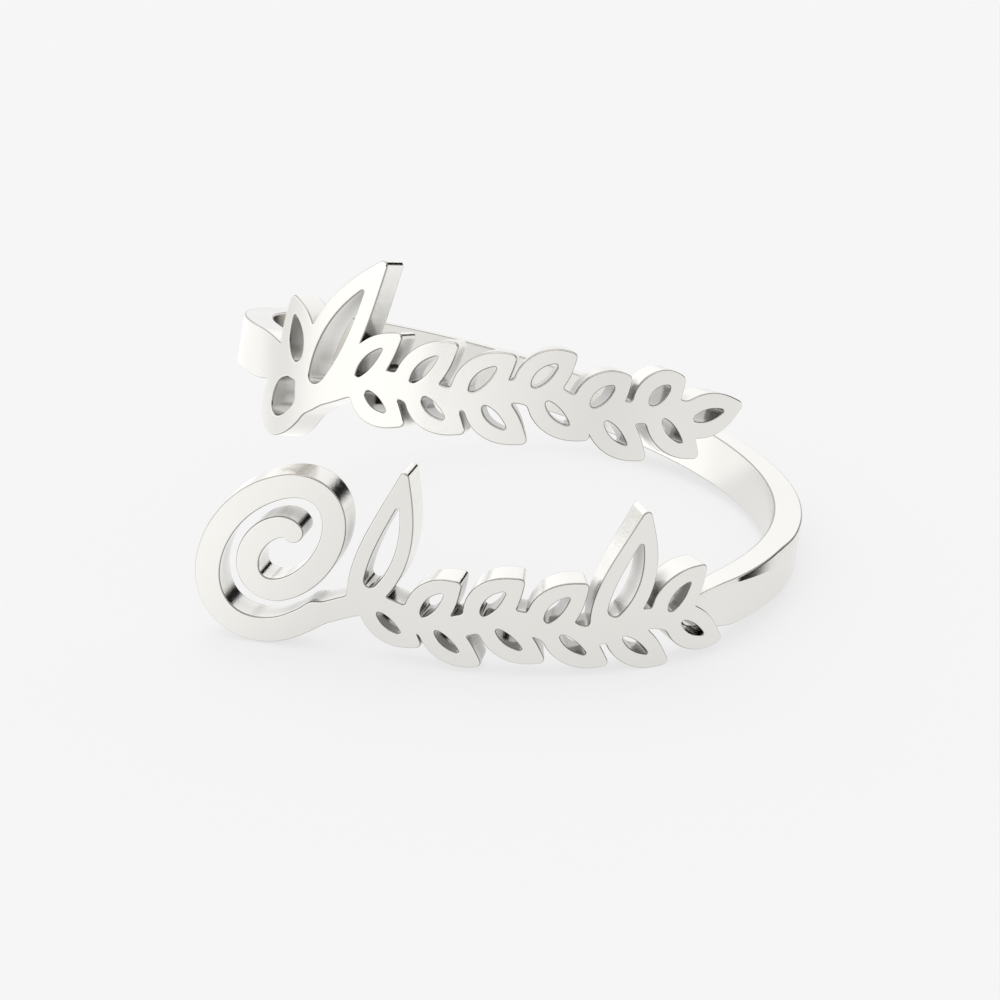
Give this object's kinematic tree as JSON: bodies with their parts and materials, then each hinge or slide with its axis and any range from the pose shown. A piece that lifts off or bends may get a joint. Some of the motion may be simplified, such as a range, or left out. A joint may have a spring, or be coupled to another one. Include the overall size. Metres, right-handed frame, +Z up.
{
  "type": "open wrap ring",
  "caption": "Open silver wrap ring: a plain band climbs round the finger and ends at the front in pierced leafy rows, one above the other, with a curl at the free end.",
  "frame": {"origin": "bottom centre of the bounding box, on the surface that the ring lies on", "axes": "+Z up, -Y towards the leafy rows at the front, +X towards the side where the lower row joins the band"},
  "size_m": [0.0206, 0.0204, 0.013],
  "materials": {
    "silver": "polished silver"
  },
  "bodies": {
    "root": {"ring": "silver"}
  },
  "joints": []
}
